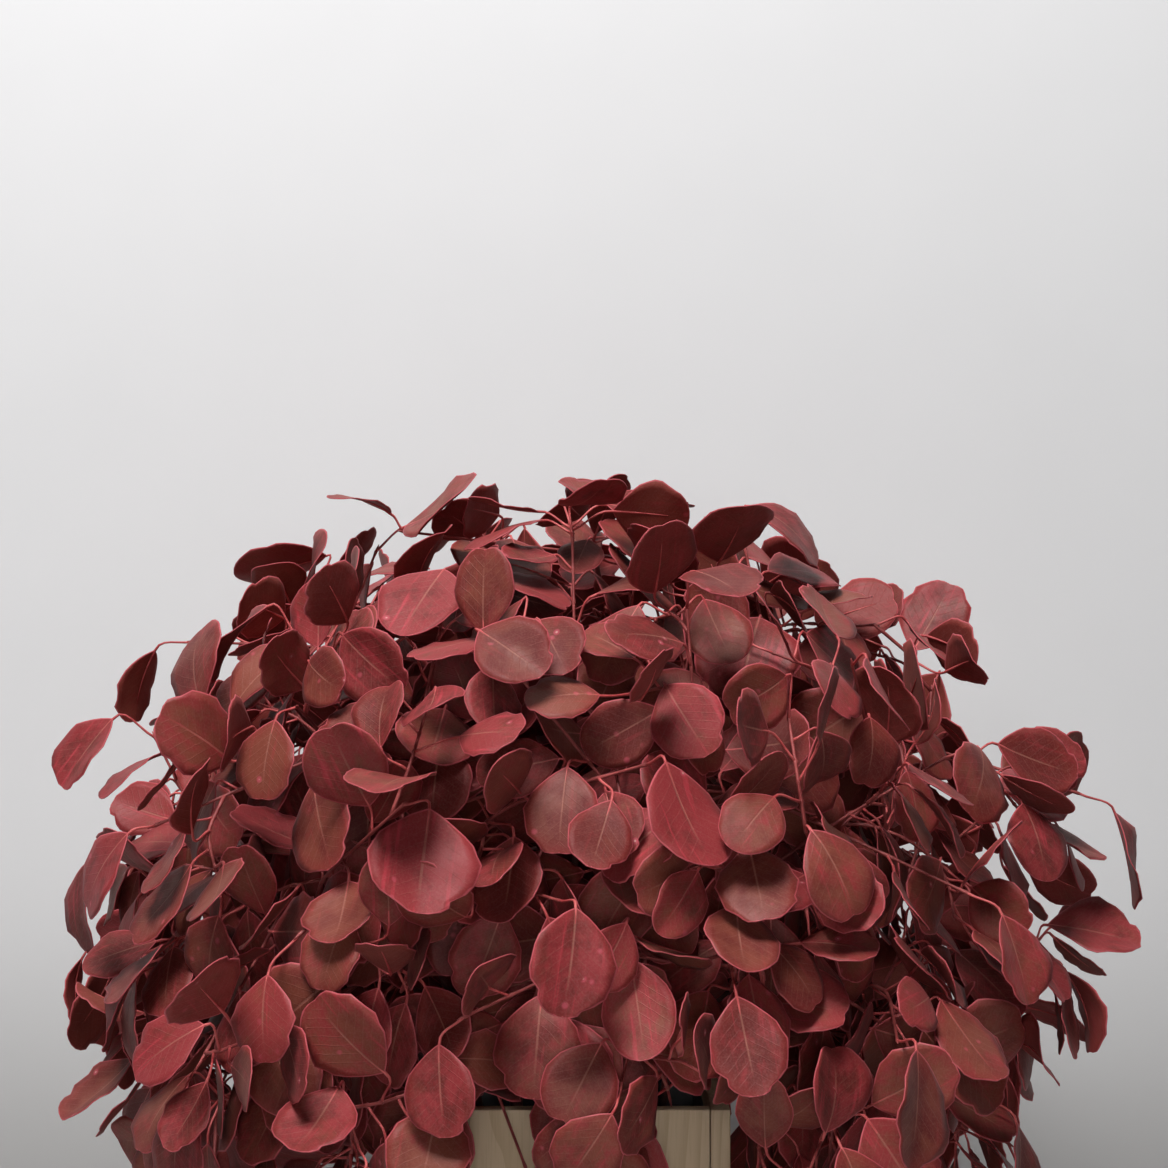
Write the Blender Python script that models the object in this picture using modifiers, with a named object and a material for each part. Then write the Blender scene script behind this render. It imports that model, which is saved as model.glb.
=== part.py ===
"""A bunch of dyed, round-leaved eucalyptus standing in a square box of pale boards.

The box is four walls of upright boards, glued edge to edge round a base board, with
a plastic liner that holds the water. Each cut stem stands on the liner's floor in the
water, leans on its way up through the mouth, and arches outwards. Side twigs carry
the leaves, each on its own long petiole. Every leafy stem is one grown piece.
Metres, +Z up, origin at the middle of the box's underside; the front faces -Y.
"""

import math
import random

import bmesh
import bpy
from mathutils import Matrix, Vector
from mathutils.bvhtree import BVHTree

# Box and liner
BOX_SIDE = 0.210
BOX_HEIGHT = 0.280
BOARD_THICKNESS = 0.012
BOARDS_PER_WALL = 4
SEAT_GAP = 0.0003
LINER_WALL = 0.0016
LINER_BELOW_RIM = 0.014
WATER_DEPTH = 0.120
HOLE_CLEARANCE = 0.0008

# Stems
STEM_COUNT = 14
STEM_RADIUS_AT_FOOT = 0.0030
STEM_RADIUS_AT_TIP = 0.0015
STEM_TIP_REACH = 0.185
STEM_POINTS = 6
LOWEST_STEM_HEIGHT = -0.08
MOUTH_RING = (0.015, 0.055)
FOOT_RING_SHARE = 0.45
STEM_RISE_SHARE = 0.6
STEM_SWAY = 0.012
STEM_REACH_SPREAD = (0.94, 1.06)

# Twigs, in layers: each is its name, its count, the highest and lowest direction that its
# twigs take from the dome's centre, and the share of the dome's reach that they end at.
TWIG_LAYERS = (
    ("outer", 72, 1.0, -0.42, 1.0),
    ("collar", 16, 0.0, -0.55, 0.62),
)
TWIG_RADIUS = (0.0013, 0.0009)
TWIG_REACH = 0.258
TWIG_SPACING = 0.008
TWIG_ROOTS = 14
LOWEST_ROOT_AT = 0.15
WIDEST_FORK = math.radians(100)
TWIG_REACH_SPREAD = (0.93, 1.05)
TWIG_RISE = 0.22
TURN_COST = 0.020
LOAD_COST = 0.006

# Leaves
LEAF_THICKNESS = 0.0010
LEAF_LENGTH = (0.048, 0.068)
LEAF_BREADTH = (0.70, 0.98)
PETIOLE_LENGTH = (0.016, 0.032)
PETIOLE_WIDTH = (0.0009, 0.0014)
LEAF_PLACES = (1.0, 0.68, 0.40)
LEAF_TRIES = 18
LEAF_BENDS = (-0.35, 0.25, 0.5, 0.8)
LEAF_FOLD = (-0.10, 0.28)
LEAF_WAVE = (0.0, 0.035)
STANDING_SHARE = 0.22
STANDING_PULL = 0.25
HANGING_PULL = 0.75
LEAST_FACING = 0.8
WIDEST_AT = 0.52
TIP_EDGE_AT = 0.965
GUARD = 0.0011

# The dome that the leaves fill, squarer than a ball, and the sprays that stand out of
# it: each is its direction, how far its twigs reach past the others, and its spread.
DOME_CENTRE = Vector((0.0, 0.0, BOX_HEIGHT + 0.075))
DOME_SQUARENESS = 2.9
DOME_WIDENING = 0.016
STRAYS = (
    ((1.0, -0.15, 0.26), 0.085, 0.22),
    ((-1.0, -0.10, 0.16), 0.040, 0.22),
    ((0.93, -0.20, -0.24), 0.050, 0.20),
    ((0.0, 0.0, 1.0), 0.020, 0.70),
    ((-0.12, -0.10, 1.0), 0.085, 0.24),
    ((-0.72, 0.0, 0.68), 0.012, 0.18),
    ((0.42, 0.0, 0.90), -0.010, 0.20),
    ((0.70, 0.05, 0.72), 0.012, 0.16),
    ((-0.90, -0.10, -0.42), -0.045, 0.26),
)

# The box's front shows between the leaves that hang over its rim: the stretches of it
# that are seen from in front, from its left to its right.
SEEN_FROM = Vector((0.015, -1.640, 0.603))
FRONT_SEEN = ((-0.052, -0.022), (0.066, 0.106))


def collection_named(name, shown=True):
    """A collection in the scene, for parts if shown and for helpers if not."""
    found = bpy.data.collections.new(name)
    found.hide_render = not shown
    bpy.context.scene.collection.children.link(found)
    return found


def material_named(name, colour, roughness):
    """A Principled material of one plain colour."""
    made = bpy.data.materials.new(name)
    made.use_nodes = True
    shader = made.node_tree.nodes["Principled BSDF"]
    shader.inputs["Base Color"].default_value = (*colour, 1.0)
    shader.inputs["Roughness"].default_value = roughness
    made.diffuse_color = (*colour, 1.0)
    return made


def place(obj, collection, material):
    """Puts a new object in its collection with its material."""
    for other in list(obj.users_collection):
        other.objects.unlink(obj)
    collection.objects.link(obj)
    obj.data.materials.clear()
    obj.data.materials.append(material)
    return obj


def block(name, low, high, collection, material):
    """A box from its lowest to its highest corner."""
    middle = [(a + b) / 2 for a, b in zip(low, high)]
    size = [b - a for a, b in zip(low, high)]
    bpy.ops.mesh.primitive_cube_add(size=1, location=middle)
    obj = bpy.context.object
    obj.name = name
    obj.data.transform(Matrix.Diagonal((*size, 1.0)))
    return place(obj, collection, material)


def tube(name, points, radii, bevel_resolution, collection, material):
    """A tapering tube along the points, as a closed mesh."""
    curve = bpy.data.curves.new(name, "CURVE")
    curve.dimensions = "3D"
    curve.bevel_depth = 1.0
    curve.bevel_resolution = bevel_resolution
    curve.use_fill_caps = True
    spline = curve.splines.new("POLY")
    spline.points.add(len(points) - 1)
    for knot, point, radius in zip(spline.points, points, radii):
        knot.co = (*point, 1.0)
        knot.radius = radius
    drawn = bpy.data.objects.new(name + "_line", curve)
    collection.objects.link(drawn)
    graph = bpy.context.evaluated_depsgraph_get()
    mesh = bpy.data.meshes.new_from_object(drawn.evaluated_get(graph))
    bpy.data.objects.remove(drawn)
    weld(mesh)
    obj = bpy.data.objects.new(name, mesh)
    collection.objects.link(obj)
    obj.data.materials.clear()
    obj.data.materials.append(material)
    return obj


def weld(mesh):
    """Joins the loose caps of a tube to its sides."""
    shape = bmesh.new()
    shape.from_mesh(mesh)
    bmesh.ops.remove_doubles(shape, verts=shape.verts, dist=0.00001)
    bmesh.ops.recalc_face_normals(shape, faces=shape.faces)
    shape.to_mesh(mesh)
    shape.free()


def apply_modifiers(obj):
    """Replaces an object's mesh with its evaluated one."""
    graph = bpy.context.evaluated_depsgraph_get()
    mesh = bpy.data.meshes.new_from_object(obj.evaluated_get(graph))
    obj.modifiers.clear()
    obj.data = mesh


# How the bunch grows. Everything random is drawn from a generator seeded by the
# name of the piece, so each piece is the same whatever becomes of its neighbours.


def even_directions(count, highest, lowest):
    """Directions spread evenly over a band of a sphere by the golden angle."""
    golden_angle = math.pi * (3 - math.sqrt(5))
    found = []
    for k in range(count):
        height = highest - (k + 0.5) * (highest - lowest) / count
        ring = math.sqrt(1 - height * height)
        turn = k * golden_angle
        found.append(Vector((ring * math.cos(turn), ring * math.sin(turn), height)))
    return found


def twig_reach(direction):
    """How far from the dome's centre a twig ends in that direction."""
    power = DOME_SQUARENESS
    reach = TWIG_REACH / sum(abs(part) ** power for part in direction) ** (1 / power)
    reach += DOME_WIDENING * abs(direction.x) * (1 - abs(direction.z))
    for towards, extra, spread in STRAYS:
        angle = direction.angle(Vector(towards))
        reach += extra * math.exp(-((angle / spread) ** 2))
    return reach


def bezier(start, control, end, t):
    """A point on a curve with one control point."""
    return start * (1 - t) ** 2 + control * (2 * t * (1 - t)) + end * t * t


def along(points, t):
    """(point, direction) at a share t of the way along a line of points."""
    place_on = min(max(t, 0.0), 0.99999) * (len(points) - 1)
    k = int(place_on)
    step = points[k + 1] - points[k]
    return points[k] + step * (place_on - k), step.normalized()


def stem_line(direction, rng):
    """Foot, mouth of the box, and the arch out to the stem's tip."""
    level = Vector((direction.x, direction.y, 0.0))
    outwards = level.normalized()
    ring = MOUTH_RING[0] + MOUTH_RING[1] * level.length
    floor = BOARD_THICKNESS + LINER_WALL + 3 * SEAT_GAP
    foot = outwards * (ring * FOOT_RING_SHARE) + Vector((0, 0, floor))
    mouth = outwards * ring + Vector((0, 0, BOX_HEIGHT))
    tip = DOME_CENTRE + direction * STEM_TIP_REACH * rng.uniform(*STEM_REACH_SPREAD)
    rise = (mouth - foot).normalized() * (tip - mouth).length * STEM_RISE_SHARE
    sway = Vector((rng.uniform(-1, 1), rng.uniform(-1, 1), 0)) * STEM_SWAY
    control = mouth + rise + sway
    arch = [bezier(mouth, control, tip, k / (STEM_POINTS - 1)) for k in range(STEM_POINTS)]
    return [foot] + arch


def stem_radii(count):
    """The stem's radius at each of its points."""
    slim = STEM_RADIUS_AT_TIP - STEM_RADIUS_AT_FOOT
    return [STEM_RADIUS_AT_FOOT + slim * k / (count - 1) for k in range(count)]


def half_breadth(s):
    """The leaf's outline: its half breadth at a share s of its length, as a share of the most."""
    if s < WIDEST_AT:
        return math.sin(math.pi / 2 * s / WIDEST_AT) ** 0.85
    return math.sqrt(max(0.0, 1 - ((s - WIDEST_AT) / (1 - WIDEST_AT)) ** 2))


def blade_point(leaf, s, v):
    """A point on the middle surface of a leaf: s along it, v from -1 to 1 across."""
    bend = leaf["bend"]
    turned = bend * s
    forward = leaf["length"] * math.sin(turned) / bend
    dropped = leaf["length"] * (1 - math.cos(turned)) / bend
    across = leaf["length"] * leaf["breadth"] / 2 * half_breadth(s) * v
    wave = leaf["wave"] * leaf["length"] * math.sin(2 * math.pi * (1.3 * s + leaf["phase"])) * v
    lift = leaf["fold"] * abs(across) + wave * half_breadth(s)
    normal = leaf["normal"] * math.cos(turned) + leaf["axis"] * math.sin(turned)
    spot = leaf["base"] + leaf["axis"] * forward - leaf["normal"] * dropped
    return spot + leaf["side"] * across + normal * lift


def draw_leaf(root, along_twig, place_on, turn_side, rng, looseness):
    """One leaf's drawn shape and place: petiole from root to base, blade from base along axis."""
    outwards = (root - DOME_CENTRE).normalized()
    aside = along_twig.cross(outwards)
    if aside.length < 0.2:
        aside = along_twig.orthogonal()
    aside = aside.normalized() * turn_side

    def stray(size):
        return Vector([rng.uniform(-1, 1) for _ in range(3)]) * size

    down = Vector((0, 0, -1))
    if place_on > 0.95:
        petiole = along_twig + outwards * 0.2 + stray(0.35 * looseness)
    else:
        petiole = aside * 0.9 + along_twig * 0.55 + outwards * 0.5 + stray(0.35 * looseness)
    petiole.normalize()
    stands_up = rng.random() < STANDING_SHARE
    axis = petiole * 0.55 + aside * 0.15 + outwards * 0.15 + stray(0.5 * looseness)
    axis += down * (-STANDING_PULL if stands_up else HANGING_PULL)
    axis.normalize()
    normal = outwards * 0.90 - down * (0.25 - 0.5 * outwards.z) + stray(0.45 * looseness)
    normal -= axis * normal.dot(axis)
    normal.normalize()
    base = root + petiole * rng.uniform(*PETIOLE_LENGTH)
    return {
        "root": root - along_twig * (0.003 if place_on > 0.95 else 0.0),
        "base": base,
        "axis": axis,
        "normal": normal,
        "side": axis.cross(normal).normalized(),
        "length": rng.uniform(*LEAF_LENGTH),
        "breadth": rng.uniform(*LEAF_BREADTH),
        "bend": rng.choice(LEAF_BENDS) * rng.uniform(0.7, 1.2),
        "fold": rng.uniform(*LEAF_FOLD),
        "wave": rng.uniform(*LEAF_WAVE),
        "phase": rng.random(),
    }


def leaf_strip(leaf):
    """Pairs of edge points of a leaf, from the petiole's root to the blade's tip."""
    root, base = leaf["root"], leaf["base"]
    stalk = (base - root).normalized()
    across = stalk.cross(leaf["normal"])
    if across.length < 0.3:
        across = stalk.cross(leaf["axis"])
    across.normalize()
    if across.dot(leaf["side"]) < 0:
        across = -across
    thin, wide = (width / 2 for width in PETIOLE_WIDTH)
    pairs = [
        (root - across * thin, root + across * thin),
        (base - leaf["side"] * wide, base + leaf["side"] * wide),
    ]
    for s in (0.27, 0.68, TIP_EDGE_AT):
        pairs.append((blade_point(leaf, s, -1), blade_point(leaf, s, 1)))
    return pairs


class Room:
    """What has been placed so far, to keep the next piece clear of it."""

    def __init__(self):
        self.placed = []

    def add(self, owner, guard):
        """Remembers a guard, a closed shell a little larger than the piece."""
        self.placed.append((owner, *guard))

    def clear(self, guard, passing=()):
        """True if the guard meets nothing placed, apart from the owners it may pass."""
        tree, middle, radius = guard
        for owner, other, centre, reach in self.placed:
            if owner in passing:
                continue
            if (middle - centre).length < radius + reach and tree.overlap(other):
                return False
        return True


def guard_of(points, faces):
    """A search tree with the middle and radius of what it covers."""
    middle = sum(points, Vector()) / len(points)
    radius = max((p - middle).length for p in points)
    return BVHTree.FromPolygons(points, faces), middle, radius


def line_guard(points, radii):
    """The guard of a tube: a square tube a little thicker than it."""
    corners = []
    faces = []
    for k, (point, radius) in enumerate(zip(points, radii)):
        step = points[min(k + 1, len(points) - 1)] - points[max(k - 1, 0)]
        one = step.orthogonal().normalized()
        two = step.normalized().cross(one)
        reach = (radius + GUARD) * 1.3
        corners += [point + one * reach, point + two * reach, point - one * reach, point - two * reach]
    for k in range(len(points) - 1):
        for n in range(4):
            a, b = 4 * k + n, 4 * k + (n + 1) % 4
            faces.append((a, b, b + 4, a + 4))
    return guard_of(corners, faces)


def blade_guard(leaf):
    """The guard of a blade: its strip, widened and thickened."""
    lift = leaf["normal"] * (LEAF_THICKNESS / 2 + GUARD)
    corners = []
    for left, right in leaf_strip(leaf)[1:]:
        wider = (right - left).normalized() * GUARD
        corners += [left - wider + lift, right + wider + lift, left - wider - lift, right + wider - lift]
    faces = []
    for k in range(len(corners) // 4 - 1):
        a = 4 * k
        for one, two in ((0, 1), (1, 3), (3, 2), (2, 0)):
            faces.append((a + one, a + two, a + two + 4, a + one + 4))
    end = len(corners) - 4
    faces += [(0, 1, 3, 2), (end, end + 1, end + 3, end + 2)]
    return guard_of(corners, faces)


def petiole_guard(leaf):
    """The guard of a petiole, from just outside its own twig to just short of the blade."""
    root, base = leaf["root"], leaf["base"]
    step = (base - root).normalized()
    reach = max(PETIOLE_WIDTH) / 2
    return line_guard([root + step * 0.005, base - step * 0.003], [reach, reach])


def clear_of_the_box(points):
    """True if no point lies in the box or against its walls, or hides what is seen of its front."""
    half = BOX_SIDE / 2
    if any(p.z < BOX_HEIGHT + 0.004 and max(abs(p.x), abs(p.y)) < half + 0.004 for p in points):
        return False
    before = [p - SEEN_FROM for p in points if p.y < -half]
    on_front = [SEEN_FROM + ray * (-half - SEEN_FROM.y) / ray.y for ray in before]
    if not on_front or min(spot.z for spot in on_front) > BOX_HEIGHT:
        return True
    left, right = (end(spot.x for spot in on_front) for end in (min, max))
    return all(right < start or left > end for start, end in FRONT_SEEN)


def grow_stems(room):
    """The line of points of each stem."""
    stems = []
    for k, direction in enumerate(even_directions(STEM_COUNT, 1.0, LOWEST_STEM_HEIGHT)):
        line = stem_line(direction, random.Random(f"stem {k}"))
        room.add(("stem", k), line_guard(line, stem_radii(len(line))))
        stems.append(line)
    return stems


def fork_places(stems):
    """(stem's number, step, root, direction) of every place where a twig could fork."""
    places = []
    for owner, line in enumerate(stems):
        for step in range(TWIG_ROOTS):
            share = LOWEST_ROOT_AT + (1 - LOWEST_ROOT_AT) * step / (TWIG_ROOTS - 1)
            places.append((owner, step, *along(line[1:], share)))
    return places


def grow_twigs(stems, room):
    """Each twig is a stem's number, a name, and three points from the stem to the twig's end."""
    places = fork_places(stems)
    twigs = []
    roots = []
    load = [0] * len(stems)
    for layer, count, highest, lowest, reach_share in TWIG_LAYERS:
        for k, direction in enumerate(even_directions(count, highest, lowest)):
            rng = random.Random(f"{layer} twig {k}")
            reach = twig_reach(direction) * reach_share * rng.uniform(*TWIG_REACH_SPREAD)
            end = DOME_CENTRE + direction * reach
            choices = []
            for owner, step, root, heading in places:
                turn = heading.angle(end - root)
                if turn < WIDEST_FORK:
                    cost = (end - root).length + TURN_COST * turn + LOAD_COST * load[owner]
                    choices.append((cost, owner, step, root, heading))
            choices.sort(key=lambda choice: choice[:3])
            for cost, owner, step, root, heading in choices:
                if any((root - other).length <= TWIG_SPACING for other in roots):
                    continue
                line = twig_line(root, heading, end)
                start = root + (line[1] - root).normalized() * 0.006
                guard = line_guard([start] + line[1:], [TWIG_RADIUS[0]] * 3)
                if clear_of_the_box(line[1:]) and room.clear(guard):
                    name = f"{layer} {k}"
                    room.add(("twig", name), guard)
                    twigs.append((owner, name, line))
                    roots.append(root)
                    load[owner] += 1
                    break
    return twigs


def twig_line(root, heading, end):
    """A twig's three points: it leaves between its stem's direction and its end's, and rises."""
    reach = end - root
    lean = heading * 0.5 + reach.normalized() * 0.5 + Vector((0, 0, TWIG_RISE))
    control = root + lean.normalized() * reach.length * 0.5
    return [root, bezier(root, control, end, 0.5), end]


def fits(leaf, owner_twig, room):
    """The guards of a leaf that is clear of all else, or None."""
    corners = [p for pair in leaf_strip(leaf)[1:] for p in pair]
    if not clear_of_the_box(corners):
        return None
    blade = blade_guard(leaf)
    stalk = petiole_guard(leaf)
    if room.clear(blade) and room.clear(stalk, passing=(("twig", owner_twig),)):
        return blade, stalk
    return None


def grow_leaves(twigs, places, room):
    """Leaves at those shares of the twigs' length, each where it covers most: (stem, leaf) pairs."""
    leaves = []
    faced = []
    for round_number, place_on in enumerate(places):
        for k, (owner, name, line) in enumerate(twigs):
            root, heading = along(line, place_on)
            rng = random.Random(f"{name} leaf at {place_on}")
            turn_side = 1 if (k + round_number) % 2 else -1
            best = None
            most = 0.0
            for attempt in range(LEAF_TRIES):
                if attempt == LEAF_TRIES // 2:
                    turn_side = -turn_side
                leaf = draw_leaf(root, heading, place_on, turn_side, rng, 1 + attempt / LEAF_TRIES)
                facing = (blade_point(leaf, 0.5, 0.0) - DOME_CENTRE).normalized()
                covered = min([(facing - other).length for other in faced], default=1.0)
                covered *= LEAST_FACING + abs(facing.dot(leaf["normal"]))
                if covered > most:
                    guards = fits(leaf, name, room)
                    if guards:
                        best = leaf, facing, guards
                        most = covered
            if best:
                leaf, facing, guards = best
                for guard in guards:
                    room.add(("leaf", name), guard)
                leaves.append((owner, leaf))
                faced.append(facing)
    return leaves


# The solids


def leaves_mesh(name, leaves, collection, material):
    """All of a stem's leaves as strips, made solid by one modifier."""
    shape = bmesh.new()
    for leaf in leaves:
        rows = [[shape.verts.new(p) for p in pair] for pair in leaf_strip(leaf)]
        for (a, b), (c, d) in zip(rows, rows[1:]):
            shape.faces.new((a, b, d, c))
    bmesh.ops.triangulate(shape, faces=shape.faces)
    mesh = bpy.data.meshes.new(name)
    shape.to_mesh(mesh)
    shape.free()
    obj = bpy.data.objects.new(name, mesh)
    collection.objects.link(obj)
    obj.data.materials.append(material)
    solid = obj.modifiers.new("thickness", "SOLIDIFY")
    solid.thickness = LEAF_THICKNESS
    solid.offset = 0
    apply_modifiers(obj)
    return obj


def leafy_stem(number, line, twigs, leaves, parts, materials):
    """One stem with its twigs and leaves, joined in one solid."""
    name = f"leafy_stem_{number + 1:02d}"
    stem = tube(name, line, stem_radii(len(line)), 1, parts, materials["stem"])
    grown = collection_named(name + "_growth", shown=False)
    for owner, twig, points in twigs:
        if owner == number:
            radii = [TWIG_RADIUS[0], sum(TWIG_RADIUS) / 2, TWIG_RADIUS[1]]
            tube(f"{name} {twig}", points, radii, 0, grown, materials["stem"])
    own = [leaf for owner, leaf in leaves if owner == number]
    if own:
        leaves_mesh(name + "_leaves", own, grown, materials["leaf"])
    join = stem.modifiers.new("growth", "BOOLEAN")
    join.operation = "UNION"
    join.operand_type = "COLLECTION"
    join.collection = grown
    join.solver = "MANIFOLD"
    apply_modifiers(stem)
    for helper in list(grown.objects):
        bpy.data.objects.remove(helper)
    bpy.data.collections.remove(grown)
    return stem


def box_walls(parts, material):
    """Four like walls of upright boards; each wall's end board covers its neighbour's end."""
    half = BOX_SIDE / 2
    span = BOX_SIDE - BOARD_THICKNESS - SEAT_GAP
    width = span / BOARDS_PER_WALL
    for turn, wall in enumerate(("front", "right", "back", "left")):
        for n in range(BOARDS_PER_WALL):
            low = (-half + n * width, -half, 0)
            high = (-half + (n + 1) * width - SEAT_GAP, -half + BOARD_THICKNESS, BOX_HEIGHT)
            board = block(f"board_{wall}_{n + 1}", low, high, parts, material)
            middle = Vector([(a + b) / 2 for a, b in zip(low, high)])
            about = Matrix.Rotation(turn * math.pi / 2, 4, "Z")
            board.location = about @ middle
            board.rotation_euler = (0, 0, turn * math.pi / 2)


def base_board(parts, material):
    """The board that closes the box's foot, between the walls."""
    half = BOX_SIDE / 2 - BOARD_THICKNESS - SEAT_GAP
    block("base_board", (-half, -half, 0), (half, half, BOARD_THICKNESS), parts, material)


def liner_and_water(stems, parts, helpers, materials):
    """The open plastic liner, and the water in it with a plain hole for each stem."""
    outer = BOX_SIDE / 2 - BOARD_THICKNESS - 2 * SEAT_GAP
    floor = BOARD_THICKNESS + SEAT_GAP
    top = BOX_HEIGHT - LINER_BELOW_RIM
    liner = block("liner", (-outer, -outer, floor), (outer, outer, top), parts, materials["liner"])
    shape = bmesh.new()
    shape.from_mesh(liner.data)
    lid = [face for face in shape.faces if face.normal.z > 0.5]
    bmesh.ops.delete(shape, geom=lid, context="FACES_ONLY")
    shape.to_mesh(liner.data)
    shape.free()
    wall = liner.modifiers.new("wall", "SOLIDIFY")
    wall.thickness = LINER_WALL
    wall.offset = -1
    wall.use_even_offset = True

    inner = outer - LINER_WALL - SEAT_GAP
    bottom = floor + LINER_WALL + SEAT_GAP
    low = (-inner, -inner, bottom)
    high = (inner, inner, bottom + WATER_DEPTH)
    water = block("water", low, high, parts, materials["water"])
    for k, line in enumerate(stems):
        rise = line[1] - line[0]
        ends = [line[0] - rise * 0.1, line[0] + rise * 0.6]
        radius = STEM_RADIUS_AT_FOOT + HOLE_CLEARANCE
        cutter = tube(f"hole_{k}", ends, [radius, radius], 1, helpers, materials["water"])
        cutter.hide_render = True
        cutter.display_type = "WIRE"
    cut = water.modifiers.new("stem holes", "BOOLEAN")
    cut.operation = "DIFFERENCE"
    cut.operand_type = "COLLECTION"
    cut.collection = helpers
    cut.solver = "EXACT"


def build():
    for obj in list(bpy.data.objects):
        bpy.data.objects.remove(obj)
    parts = collection_named("dyed_eucalyptus_in_box")
    helpers = collection_named("helpers", shown=False)
    materials = {
        "board": material_named("pale_board", (0.46, 0.34, 0.21), 0.70),
        "liner": material_named("black_plastic", (0.02, 0.02, 0.02), 0.45),
        "water": material_named("water", (0.30, 0.36, 0.36), 0.05),
        "stem": material_named("dyed_stem", (0.30, 0.035, 0.04), 0.50),
        "leaf": material_named("dyed_leaf", (0.17, 0.04, 0.045), 0.55),
    }
    box_walls(parts, materials["board"])
    base_board(parts, materials["board"])
    room = Room()
    stems = grow_stems(room)
    liner_and_water(stems, parts, helpers, materials)
    twigs = grow_twigs(stems, room)
    leaves = grow_leaves(twigs, LEAF_PLACES, room)
    for number, line in enumerate(stems):
        leafy_stem(number, line, twigs, leaves, parts, materials)
    print(f"{len(twigs)} twigs, {len(leaves)} leaves")


build()
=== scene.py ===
"""A bunch of red-dyed, round-leaved eucalyptus standing in a square box of pale boards.

Metres, +Z up, origin at the middle of the box's underside; the front faces -Y. The
script follows the object as it is put together: the box, its liner and water, then the
stems, their twigs and leaves, and last the studio that it stands in.
"""

import math
import random

import bpy
import numpy as np
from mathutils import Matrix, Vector
from mathutils.bvhtree import BVHTree


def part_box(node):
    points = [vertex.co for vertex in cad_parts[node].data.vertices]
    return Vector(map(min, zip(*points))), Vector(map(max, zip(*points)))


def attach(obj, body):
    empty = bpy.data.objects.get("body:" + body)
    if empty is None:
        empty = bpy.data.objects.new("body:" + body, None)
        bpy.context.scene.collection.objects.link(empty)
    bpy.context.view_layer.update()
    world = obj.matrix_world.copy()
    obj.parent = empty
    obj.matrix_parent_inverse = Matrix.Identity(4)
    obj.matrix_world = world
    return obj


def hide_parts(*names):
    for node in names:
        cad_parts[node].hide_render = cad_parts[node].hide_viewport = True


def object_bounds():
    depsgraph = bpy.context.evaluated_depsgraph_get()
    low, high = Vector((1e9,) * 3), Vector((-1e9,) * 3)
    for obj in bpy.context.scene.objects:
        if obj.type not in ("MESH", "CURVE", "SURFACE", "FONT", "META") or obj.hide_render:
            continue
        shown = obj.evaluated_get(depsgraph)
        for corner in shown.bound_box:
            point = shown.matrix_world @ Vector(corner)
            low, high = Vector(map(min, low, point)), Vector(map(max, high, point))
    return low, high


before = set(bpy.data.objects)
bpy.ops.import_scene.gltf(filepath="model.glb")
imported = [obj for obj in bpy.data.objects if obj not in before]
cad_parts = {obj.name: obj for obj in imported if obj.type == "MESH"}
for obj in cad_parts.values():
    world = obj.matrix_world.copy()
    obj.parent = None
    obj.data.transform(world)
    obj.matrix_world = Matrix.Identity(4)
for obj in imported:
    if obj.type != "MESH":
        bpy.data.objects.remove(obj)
solids_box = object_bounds()


# The camera
# It stands level in front of the bunch, as high as its upper leaves, so that the
# photograph's lower edge cuts the box off a little below the rim.
CAMERA_PLACE = (0.015, -1.640, 0.603)
CAMERA_LENS_MM = 77

bpy.ops.object.select_all(action="DESELECT")
bpy.ops.object.camera_add(location=CAMERA_PLACE, rotation=(math.pi / 2, 0, 0))
camera = bpy.context.object
camera.data.lens = CAMERA_LENS_MM
camera.data.sensor_width = 36
bpy.context.scene.camera = camera


# The box's walls
# Each wall is four upright boards of planed pale softwood, glued edge to edge, with
# their edges eased so that a fine groove shows at each joint. The walls are nailed on
# round the base board, and each wall's end board covers its neighbour's end.
EASED_EDGE = 0.0009
RING_SPACING = 0.0046
RING_WANDER = 0.030
PITH_ASIDE = 0.03
PITH_DISTANCE = (0.035, 0.110)
LOG_LENGTH = 9.0
SMOOTH_BELOW = math.radians(50)
WALL_AXES = {"front": (0, 1), "right": (1, 0), "back": (0, 1), "left": (1, 0)}


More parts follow.
